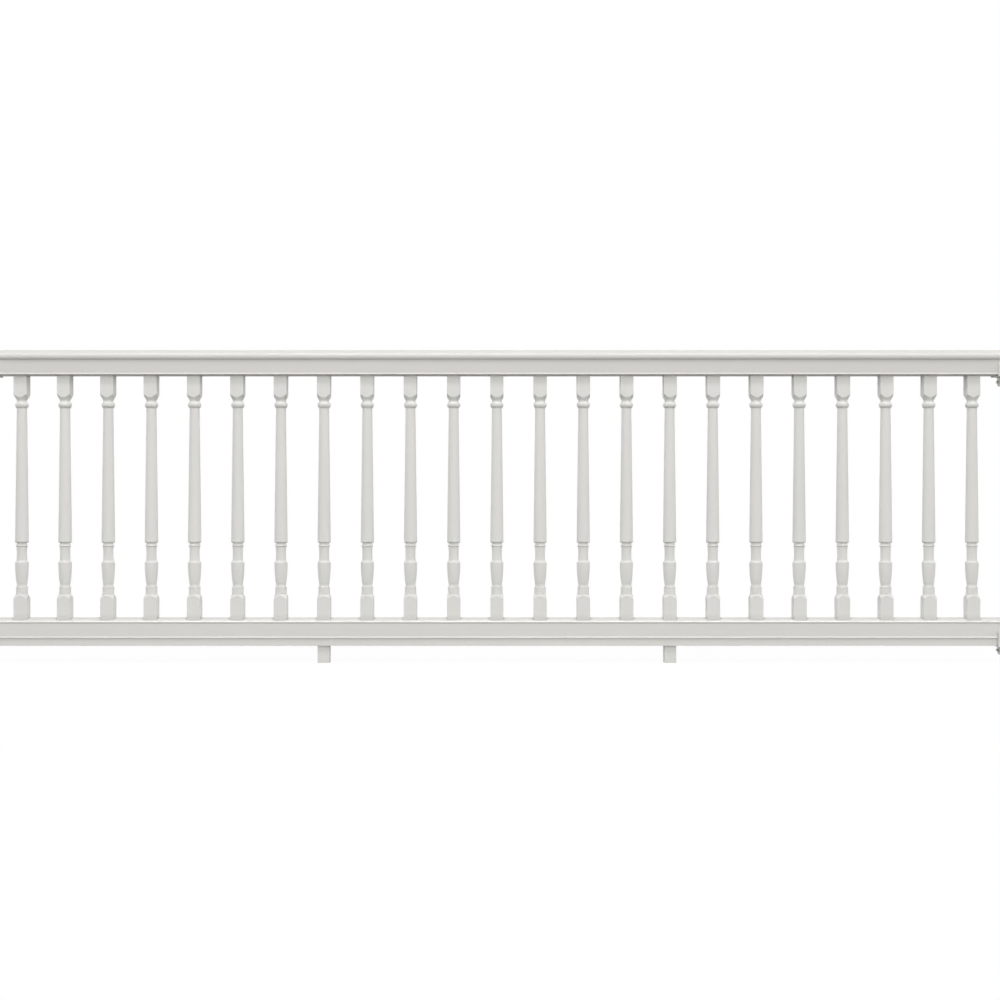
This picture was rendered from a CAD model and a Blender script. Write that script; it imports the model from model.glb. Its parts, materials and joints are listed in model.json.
import json
import math

import bmesh
import bpy
from mathutils import Matrix, Vector


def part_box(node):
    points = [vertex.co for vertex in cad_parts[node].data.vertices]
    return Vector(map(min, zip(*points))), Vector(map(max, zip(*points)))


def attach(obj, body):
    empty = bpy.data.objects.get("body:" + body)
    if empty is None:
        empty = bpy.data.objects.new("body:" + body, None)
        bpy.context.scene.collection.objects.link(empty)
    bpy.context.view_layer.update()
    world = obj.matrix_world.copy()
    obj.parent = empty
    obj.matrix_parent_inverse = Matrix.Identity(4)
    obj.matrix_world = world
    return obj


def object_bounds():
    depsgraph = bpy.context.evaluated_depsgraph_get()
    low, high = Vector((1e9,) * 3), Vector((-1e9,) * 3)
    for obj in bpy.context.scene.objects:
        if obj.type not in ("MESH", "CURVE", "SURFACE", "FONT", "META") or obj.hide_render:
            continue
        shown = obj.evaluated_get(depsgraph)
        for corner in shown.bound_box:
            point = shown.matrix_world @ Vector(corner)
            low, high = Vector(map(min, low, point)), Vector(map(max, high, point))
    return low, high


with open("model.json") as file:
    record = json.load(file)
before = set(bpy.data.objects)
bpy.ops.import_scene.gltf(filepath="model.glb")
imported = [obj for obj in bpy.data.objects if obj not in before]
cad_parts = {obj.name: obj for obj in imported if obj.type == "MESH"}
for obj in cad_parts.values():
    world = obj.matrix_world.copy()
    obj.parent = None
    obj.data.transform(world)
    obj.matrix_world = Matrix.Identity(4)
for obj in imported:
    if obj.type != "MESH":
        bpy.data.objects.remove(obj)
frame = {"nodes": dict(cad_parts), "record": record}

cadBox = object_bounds()
scene = bpy.context.scene
scene.view_settings.view_transform = "Standard"
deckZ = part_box("support_block_left")[0].z
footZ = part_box("bottom_rail")[1].z
bayMiddle = (cadBox[0] + cadBox[1]) / 2
print("frame loaded, deck at", round(deckZ, 4))


# camera, level and square on to the bay
view = {
    "distance": 4.4,           # from the balusters' plane
    "metresPerPixel": 0.00293,
    "sidePixels": 3.1,         # the bay's middle is this far left of the image's middle
    "height": 0.4753,          # above the deck
    "sensor": 36.0,
    "imageWidth": 1000,
}

cameraData = bpy.data.cameras.new("photoCamera")
cameraData.sensor_width = view["sensor"]
cameraData.lens = view["sensor"] * view["distance"] / (view["imageWidth"] * view["metresPerPixel"])
camera = bpy.data.objects.new("photoCamera", cameraData)
camera.location = (
    bayMiddle.x + view["sidePixels"] * view["metresPerPixel"],
    -view["distance"],
    deckZ + view["height"],
)
camera.rotation_euler = (math.radians(90), 0, 0)
scene.collection.objects.link(camera)
scene.camera = camera
print("camera set, lens", round(cameraData.lens, 1))


# node helpers
def addNode(tree, kind, values=None, **settings):
    node = tree.nodes.new(kind)
    for name, value in settings.items():
        setattr(node, name, value)
    for name, value in (values or {}).items():
        node.inputs[name].default_value = value
    return node


def join(tree, source, target):
    tree.links.new(source, target)


def objectNoise(tree, coords, scale, detail=2.0, offset=(0, 0, 0)):
    # noise on object coordinates; scale is its waves per metre, one for all axes or one for each
    stretch = scale if isinstance(scale, tuple) else (scale, scale, scale)
    mapping = addNode(tree, "ShaderNodeMapping", {"Scale": stretch, "Location": offset})
    noise = addNode(tree, "ShaderNodeTexNoise", {"Scale": 1.0, "Detail": detail, "Roughness": 0.55})
    join(tree, coords, mapping.inputs["Vector"])
    join(tree, mapping.outputs["Vector"], noise.inputs["Vector"])
    return noise.outputs["Fac"]


def remap(tree, value, low, high, toLow=0.0, toHigh=1.0, smooth=False):
    node = addNode(tree, "ShaderNodeMapRange", {
        "From Min": low, "From Max": high, "To Min": toLow, "To Max": toHigh,
    })
    node.interpolation_type = "SMOOTHSTEP" if smooth else "LINEAR"
    join(tree, value, node.inputs["Value"])
    return node.outputs["Result"]


def multiply(tree, first, second):
    node = addNode(tree, "ShaderNodeMath", operation="MULTIPLY")
    join(tree, first, node.inputs[0])
    if isinstance(second, float):
        node.inputs[1].default_value = second
    else:
        join(tree, second, node.inputs[1])
    return node.outputs["Value"]


def mixColour(tree, factor, first, second):
    node = addNode(tree, "ShaderNodeMix", data_type="RGBA")
    join(tree, factor, node.inputs["Factor"])
    for socket, colour in ((node.inputs[6], first), (node.inputs[7], second)):
        if isinstance(colour, tuple):
            socket.default_value = (*colour, 1.0)
        else:
            join(tree, colour, socket)
    return node.outputs[2]


def bump(tree, height, depth, normal):
    node = addNode(tree, "ShaderNodeBump", {"Strength": 1.0, "Distance": depth})
    join(tree, height, node.inputs["Height"])
    join(tree, normal, node.inputs["Normal"])
    return node.outputs["Normal"]


def seenDirectly(tree):
    # camera, glossy and transmission rays see the white surround
    path = addNode(tree, "ShaderNodeLightPath")
    either = addNode(tree, "ShaderNodeMath", operation="MAXIMUM")
    join(tree, path.outputs["Is Camera Ray"], either.inputs[0])
    join(tree, path.outputs["Is Glossy Ray"], either.inputs[1])
    anyOfThem = addNode(tree, "ShaderNodeMath", operation="MAXIMUM")
    join(tree, either.outputs["Value"], anyOfThem.inputs[0])
    join(tree, path.outputs["Is Transmission Ray"], anyOfThem.inputs[1])
    return anyOfThem.outputs["Value"]


# powder coat over aluminium: orange peel, faint lines of the metal under it, dust on top, grime in corners
coatPattern = {
    "mottleRange": (0.32, 0.68),
    "dustSlope": (0.66, 0.86),         # upward part of the normal where dust begins, and where it is full
    "dustScale": 38, "dustRange": (0.38, 0.72), "dustLeast": 0.75, "dustDulls": 0.4,
    "cornerRange": (0.25, 0.75),       # openness of a corner that is full of grime, and of one that has none
    "grimeScale": 55, "grimeRange": (0.35, 0.65), "grimeLeast": 0.35,
    "settleSlope": (0.2, 0.6), "splashBelow": 0.007,
    "grainScale": 900, "grainRange": (0.3, 0.7), "grainSwing": 0.04,
    "peelScale": 420,
}


def powderCoat(name, look):
    finish = bpy.data.materials.new(name)
    finish.use_nodes = True
    tree = finish.node_tree
    tree.nodes.clear()
    output = addNode(tree, "ShaderNodeOutputMaterial")
    shader = addNode(tree, "ShaderNodeBsdfPrincipled", {"Specular IOR Level": look["specular"], "IOR": 1.5})
    join(tree, shader.outputs["BSDF"], output.inputs["Surface"])
    coords = addNode(tree, "ShaderNodeTexCoord").outputs["Object"]
    geometry = addNode(tree, "ShaderNodeNewGeometry")

    # colour: slow mottling, then dust on faces that look up, then grime where faces meet
    mottle = remap(tree, objectNoise(tree, coords, look["mottleScale"], 4.0), *coatPattern["mottleRange"])
    colour = mixColour(tree, mottle, look["white"], look["shade"])
    upward = addNode(tree, "ShaderNodeSeparateXYZ")
    join(tree, geometry.outputs["Normal"], upward.inputs["Vector"])
    lyingDust = remap(tree, upward.outputs["Z"], *coatPattern["dustSlope"], smooth=True)
    dustPatches = remap(tree, objectNoise(tree, coords, coatPattern["dustScale"], 6.0, (3, 7, 1)),
                        *coatPattern["dustRange"], coatPattern["dustLeast"], 1.0)
    dust = multiply(tree, multiply(tree, lyingDust, dustPatches), look["dust"])
    colour = mixColour(tree, dust, colour, look["dustColour"])
    corners = addNode(tree, "ShaderNodeAmbientOcclusion", {"Distance": look["grimeReach"]}, samples=6)
    inCorner = remap(tree, corners.outputs["AO"], *coatPattern["cornerRange"], 1.0, 0.0, smooth=True)
    grimePatches = remap(tree, objectNoise(tree, coords, coatPattern["grimeScale"], 5.0, (1, 2, 9)),
                         *coatPattern["grimeRange"], coatPattern["grimeLeast"], 1.0)
    grime = multiply(tree, multiply(tree, inCorner, grimePatches), look["grime"])
    colour = mixColour(tree, grime, colour, look["grimeColour"])
    # dirt that settles on upward faces around the balusters' feet, and on the feet themselves
    around = remap(tree, corners.outputs["AO"], *look["settleRange"], look["settled"], 0.0, smooth=True)
    levelFaces = remap(tree, upward.outputs["Z"], *coatPattern["settleSlope"])
    colour = mixColour(tree, multiply(tree, around, levelFaces), colour, look["grimeColour"])
    place = addNode(tree, "ShaderNodeSeparateXYZ")
    join(tree, coords, place.inputs["Vector"])
    splash = remap(tree, place.outputs["Z"], footZ - coatPattern["splashBelow"], footZ + look["splashRise"],
                   look["splash"], 0.0)
    colour = mixColour(tree, splash, colour, look["grimeColour"])
    join(tree, colour, shader.inputs["Base Color"])

    # gloss varies with the coat's thickness and with dust
    swing = coatPattern["grainSwing"]
    grain = remap(tree, objectNoise(tree, coords, coatPattern["grainScale"], 2.0), *coatPattern["grainRange"],
                  look["roughness"] - swing, look["roughness"] + swing)
    duller = addNode(tree, "ShaderNodeMath", operation="ADD")
    join(tree, grain, duller.inputs[0])
    join(tree, multiply(tree, dust, coatPattern["dustDulls"]), duller.inputs[1])
    join(tree, duller.outputs["Value"], shader.inputs["Roughness"])

    # relief: eased edges, lines of the metal, orange peel
    edge = addNode(tree, "ShaderNodeBevel", {"Radius": look["easedEdge"]}, samples=4)
    metalLines = objectNoise(tree, coords, look["lineScale"], 3.0)
    peel = objectNoise(tree, coords, coatPattern["peelScale"], 1.5)
    normal = bump(tree, metalLines, look["lineDepth"], edge.outputs["Normal"])
    normal = bump(tree, peel, look["peelDepth"], normal)
    join(tree, normal, shader.inputs["Normal"])
    return finish


railCoat = {
    "white": (0.815, 0.797, 0.769), "shade": (0.785, 0.77, 0.744), "mottleScale": (1.4, 9, 9),
    "dust": 0.34, "dustColour": (0.62, 0.60, 0.55),
    "grime": 0.12, "grimeReach": 0.012, "grimeColour": (0.46, 0.45, 0.41),
    "settled": 0.0, "settleRange": (0.45, 0.95), "splash": 0.0, "splashRise": 0.012,
    "specular": 0.9, "roughness": 0.2, "easedEdge": 0.0009,
    "lineScale": (2.0, 520, 520), "lineDepth": 0.00003, "peelDepth": 0.00005,
}
subRailCoat = dict(railCoat, white=(0.79, 0.77, 0.742), shade=(0.765, 0.748, 0.722), specular=0.1, roughness=0.5)
bottomRailCoat = dict(railCoat, white=(0.827, 0.809, 0.78), shade=(0.797, 0.781, 0.755),
                      dust=0.26, settled=1.0)
balusterCoat = dict(railCoat, white=(0.887, 0.873, 0.844), shade=(0.857, 0.845, 0.818), specular=0.08, roughness=0.5,
                    splash=0.4, mottleScale=(12, 12, 2.2), lineScale=(8, 8, 640), lineDepth=0.00002)
baseCoat = dict(railCoat, white=(0.862, 0.847, 0.812), shade=(0.832, 0.818, 0.786), roughness=0.46, specular=0.4)
blockCoat = dict(baseCoat, mottleScale=(14, 14, 14), lineScale=(500, 500, 10), grime=0.45)
bracketCoat = dict(baseCoat, mottleScale=(16, 16, 16), lineScale=(130, 130, 130), lineDepth=0.00006)

coats = {
    "railWhite": powderCoat("railWhite", railCoat),
    "subRailWhite": powderCoat("subRailWhite", subRailCoat),
    "bottomRailWhite": powderCoat("bottomRailWhite", bottomRailCoat),
    "balusterWhite": powderCoat("balusterWhite", balusterCoat),
    "baseWhite": powderCoat("baseWhite", baseCoat),
    "blockWhite": powderCoat("blockWhite", blockCoat),
    "bracketWhite": powderCoat("bracketWhite", bracketCoat),
}


def coatFor(nodeName):
    if nodeName.startswith("baluster"):
        return coats["balusterWhite"]
    if "bracket" in nodeName:
        return coats["bracketWhite"]
    if nodeName.startswith("support_block"):
        return coats["blockWhite"]
    if nodeName == "top_sub_rail":
        return coats["subRailWhite"]
    if nodeName == "bottom_rail":
        return coats["bottomRailWhite"]
    if nodeName == "bottom_rail_base":
        return coats["baseWhite"]
    return coats["railWhite"]


for nodeName, piece in frame["nodes"].items():
    for place in range(len(piece.material_slots)):
        piece.material_slots[place].material = coatFor(nodeName)
print("coats on", len(frame["nodes"]), "pieces")


# screws that hold the bracket flanges to the posts
screw = {
    "acrossFlats": 0.008, "headHeight": 0.0042, "washerRadius": 0.0054, "washerHeight": 0.0011,
    "washerDome": 1.2, "shankRadius": 0.0025, "flange": 0.004, "easedEdge": 0.0005, "sides": 32,
}
steel = {
    "bright": (0.62, 0.61, 0.59), "stained": (0.46, 0.45, 0.43), "stainScale": 420, "stainRange": (0.35, 0.7),
    "roughness": (0.28, 0.46), "lineScale": 2600, "lineDepth": 0.00001, "easedEdge": 0.0002,
}


def steelFinish():
    finish = bpy.data.materials.new("screwSteel")
    finish.use_nodes = True
    tree = finish.node_tree
    shader = tree.nodes["Principled BSDF"]
    shader.inputs["Metallic"].default_value = 1.0
    coords = addNode(tree, "ShaderNodeTexCoord").outputs["Object"]
    stain = remap(tree, objectNoise(tree, coords, steel["stainScale"], 4.0), *steel["stainRange"])
    join(tree, mixColour(tree, stain, steel["bright"], steel["stained"]), shader.inputs["Base Color"])
    join(tree, remap(tree, stain, 0.0, 1.0, *steel["roughness"]), shader.inputs["Roughness"])
    lines = objectNoise(tree, coords, steel["lineScale"], 2.0)
    normal = addNode(tree, "ShaderNodeBevel", {"Radius": steel["easedEdge"]}, samples=4).outputs["Normal"]
    join(tree, bump(tree, lines, steel["lineDepth"], normal), shader.inputs["Normal"])
    return finish


def addScrew(name, place, outward):
    # drawn along +Z on the flange's outer face, then turned along the rail
    mesh = bmesh.new()
    profile = [
        (screw["shankRadius"], -screw["flange"]), (screw["shankRadius"], 0.0),
        (screw["washerRadius"], 0.0), (screw["washerRadius"], screw["washerHeight"]),
        (0.0, screw["washerHeight"] * screw["washerDome"]),
    ]
    points = [mesh.verts.new((0.0, 0.0, -screw["flange"]))]
    points += [mesh.verts.new((r, 0.0, z)) for r, z in profile]
    edges = [mesh.edges.new(pair) for pair in zip(points, points[1:])]
    bmesh.ops.spin(mesh, geom=points + edges, axis=(0, 0, 1), cent=(0, 0, 0),
                   angle=math.tau, steps=screw["sides"], use_merge=True)
    bmesh.ops.remove_doubles(mesh, verts=mesh.verts, dist=1e-6)
    headRadius = screw["acrossFlats"] / math.sqrt(3)
    hexagon = bmesh.ops.create_cone(
        mesh, cap_ends=True, segments=6, radius1=headRadius, radius2=headRadius, depth=screw["headHeight"],
        matrix=Matrix.Translation((0, 0, screw["headHeight"] / 2 + screw["washerHeight"])),
    )
    top = [e for e in {e for v in hexagon["verts"] for e in v.link_edges}
           if all(v.co.z > screw["headHeight"] for v in e.verts)]
    bmesh.ops.bevel(mesh, geom=top, offset=screw["easedEdge"], offset_type="OFFSET", affect="EDGES",
                    segments=2, profile=0.5, material=-1)
    bmesh.ops.recalc_face_normals(mesh, faces=mesh.faces)
    turn = Vector((0, 0, 1)).rotation_difference(Vector(outward)).to_matrix().to_4x4()
    bmesh.ops.transform(mesh, matrix=Matrix.Translation(place) @ turn, verts=mesh.verts)
    data = bpy.data.meshes.new(name)
    mesh.to_mesh(data)
    mesh.free()
    data.materials.append(screwSteel)
    piece = bpy.data.objects.new(name, data)
    scene.collection.objects.link(piece)
    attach(piece, "root")
    return piece


screwSteel = steelFinish()
screwCount = 0
for mount in frame["record"]["mounts"]:
    if mount["kind"] != "bolt_pattern":
        continue
    inward = -Vector(mount["axis"])
    middle = Vector(mount["pos_m"]) + inward * screw["flange"]
    for side in (-1, 1):
        across = Vector((0, side * mount["dims"]["spacing_x_mm"] / 2000, 0))
        screwCount += 1
        addScrew(f"bracket_screw_{screwCount:02d}", middle + across, inward)
print("screws made:", screwCount)


# floor: pale, and white to the camera away from the bay
floor = {
    "size": 60.0, "pale": (0.25, 0.262, 0.244), "shadowDepth": 0.08, "glow": 0.94,
    "reach": (2.6, 1.6),       # half length and half width of the patch that takes the bay's shadow
    "fade": (0.55, 1.0),       # where it begins to fade to white and where it ends, in parts of its reach
}


def floorFinish():
    finish = bpy.data.materials.new("paleFloor")
    finish.use_nodes = True
    tree = finish.node_tree
    tree.nodes.clear()
    output = addNode(tree, "ShaderNodeOutputMaterial")
    seen = seenDirectly(tree)
    paleFloor = addNode(tree, "ShaderNodeBsdfDiffuse", {"Color": (*floor["pale"], 1)})
    shadowed = addNode(tree, "ShaderNodeBsdfDiffuse", {"Color": (*[floor["shadowDepth"]] * 3, 1)})
    glow = addNode(tree, "ShaderNodeEmission", {"Strength": floor["glow"]})
    nearBay = addNode(tree, "ShaderNodeAddShader")
    join(tree, shadowed.outputs["BSDF"], nearBay.inputs[0])
    join(tree, glow.outputs["Emission"], nearBay.inputs[1])
    plainWhite = addNode(tree, "ShaderNodeEmission", {"Strength": 1.0})
    coords = addNode(tree, "ShaderNodeTexCoord").outputs["Object"]
    along, across = floor["reach"]
    mapping = addNode(tree, "ShaderNodeMapping", {
        "Scale": (1 / along, 1 / across, 0.0), "Location": (-bayMiddle.x / along, 0, 0),
    })
    join(tree, coords, mapping.inputs["Vector"])
    reach = addNode(tree, "ShaderNodeVectorMath", operation="LENGTH")
    join(tree, mapping.outputs["Vector"], reach.inputs[0])
    fade = remap(tree, reach.outputs["Value"], *floor["fade"], smooth=True)
    whiteFloor = addNode(tree, "ShaderNodeMixShader")
    join(tree, fade, whiteFloor.inputs["Fac"])
    join(tree, nearBay.outputs["Shader"], whiteFloor.inputs[1])
    join(tree, plainWhite.outputs["Emission"], whiteFloor.inputs[2])
    both = addNode(tree, "ShaderNodeMixShader")
    join(tree, seen, both.inputs["Fac"])
    join(tree, paleFloor.outputs["BSDF"], both.inputs[1])
    join(tree, whiteFloor.outputs["Shader"], both.inputs[2])
    join(tree, both.outputs["Shader"], output.inputs["Surface"])
    return finish


floorMesh = bmesh.new()
bmesh.ops.create_grid(floorMesh, x_segments=1, y_segments=1, size=floor["size"],
                      matrix=Matrix.Translation((0, 0, deckZ)))
floorData = bpy.data.meshes.new("floor")
floorMesh.to_mesh(floorData)
floorMesh.free()
floorData.materials.append(floorFinish())
floorPiece = bpy.data.objects.new("floor", floorData)
scene.collection.objects.link(floorPiece)


# light: a soft ring around the bay that dims overhead, a broad bank at the front that is weaker behind, a long strip
# above the front, and an edge light that only glints on gloss; the ring's and bank's heights are given by their sine
light = {
    "ring": 1.015, "ceiling": 0.06, "ringFade": (0.25, 0.65),
    "bank": 0.815, "bankBehind": 0.34, "bankTurn": 18.0,
    "bankRise": (0.0, 0.2), "bankFade": (0.6, 0.9), "bankSide": (-0.2, 0.4),
    "strip": {"power": 74.0, "size": (4.6, 0.8), "distance": 5.0, "turn": 4.0, "rise": 66.0, "onMatt": True},
    "edge": {"power": 540.0, "size": (9.0, 1.9), "distance": 5.0, "turn": 0.0, "rise": 73.0, "onMatt": False},
}
surround = bpy.data.worlds.new("paleSurround")
surround.use_nodes = True
scene.world = surround
tree = surround.node_tree
tree.nodes.clear()
output = addNode(tree, "ShaderNodeOutputWorld")
direction = addNode(tree, "ShaderNodeSeparateXYZ")
everyWay = addNode(tree, "ShaderNodeTexCoord").outputs["Generated"]
join(tree, everyWay, direction.inputs["Vector"])
soft = addNode(tree, "ShaderNodeBackground", {"Color": (1, 1, 1, 1)})
height = direction.outputs["Z"]
ring = remap(tree, height, *light["ringFade"], light["ring"], light["ceiling"], smooth=True)
bank = multiply(tree, remap(tree, height, *light["bankRise"], smooth=True),
                remap(tree, height, *light["bankFade"], 1.0, 0.0, smooth=True))
bankTurn = math.radians(light["bankTurn"])
facing = addNode(tree, "ShaderNodeVectorMath", operation="DOT_PRODUCT")
join(tree, everyWay, facing.inputs[0])
facing.inputs[1].default_value = (math.sin(bankTurn), -math.cos(bankTurn), 0)
atFront = remap(tree, facing.outputs["Value"], *light["bankSide"], light["bankBehind"], light["bank"], smooth=True)
ringAndBank = addNode(tree, "ShaderNodeMath", operation="ADD")
join(tree, ring, ringAndBank.inputs[0])
join(tree, multiply(tree, bank, atFront), ringAndBank.inputs[1])
join(tree, ringAndBank.outputs["Value"], soft.inputs["Strength"])
whiteSurround = addNode(tree, "ShaderNodeBackground", {"Color": (1, 1, 1, 1), "Strength": 1.0})
both = addNode(tree, "ShaderNodeMixShader")
join(tree, seenDirectly(tree), both.inputs["Fac"])
join(tree, soft.outputs["Background"], both.inputs[1])
join(tree, whiteSurround.outputs["Background"], both.inputs[2])
join(tree, both.outputs["Shader"], output.inputs["Surface"])


def addLamp(name, lamp):
    data = bpy.data.lights.new(name, "AREA")
    data.energy = lamp["power"]
    data.shape = "RECTANGLE"
    data.size, data.size_y = lamp["size"]
    turn, rise = math.radians(lamp["turn"]), math.radians(lamp["rise"])
    outward = Vector((math.sin(turn) * math.cos(rise), -math.cos(turn) * math.cos(rise), math.sin(rise)))
    piece = bpy.data.objects.new(name, data)
    piece.location = Vector((bayMiddle.x, 0, bayMiddle.z)) + outward * lamp["distance"]
    piece.rotation_euler = outward.to_track_quat("Z", "Y").to_euler()
    piece.visible_camera = False
    piece.visible_diffuse = lamp["onMatt"]
    scene.collection.objects.link(piece)


addLamp("stripLight", light["strip"])
addLamp("edgeLight", light["edge"])
print("floor and light set")
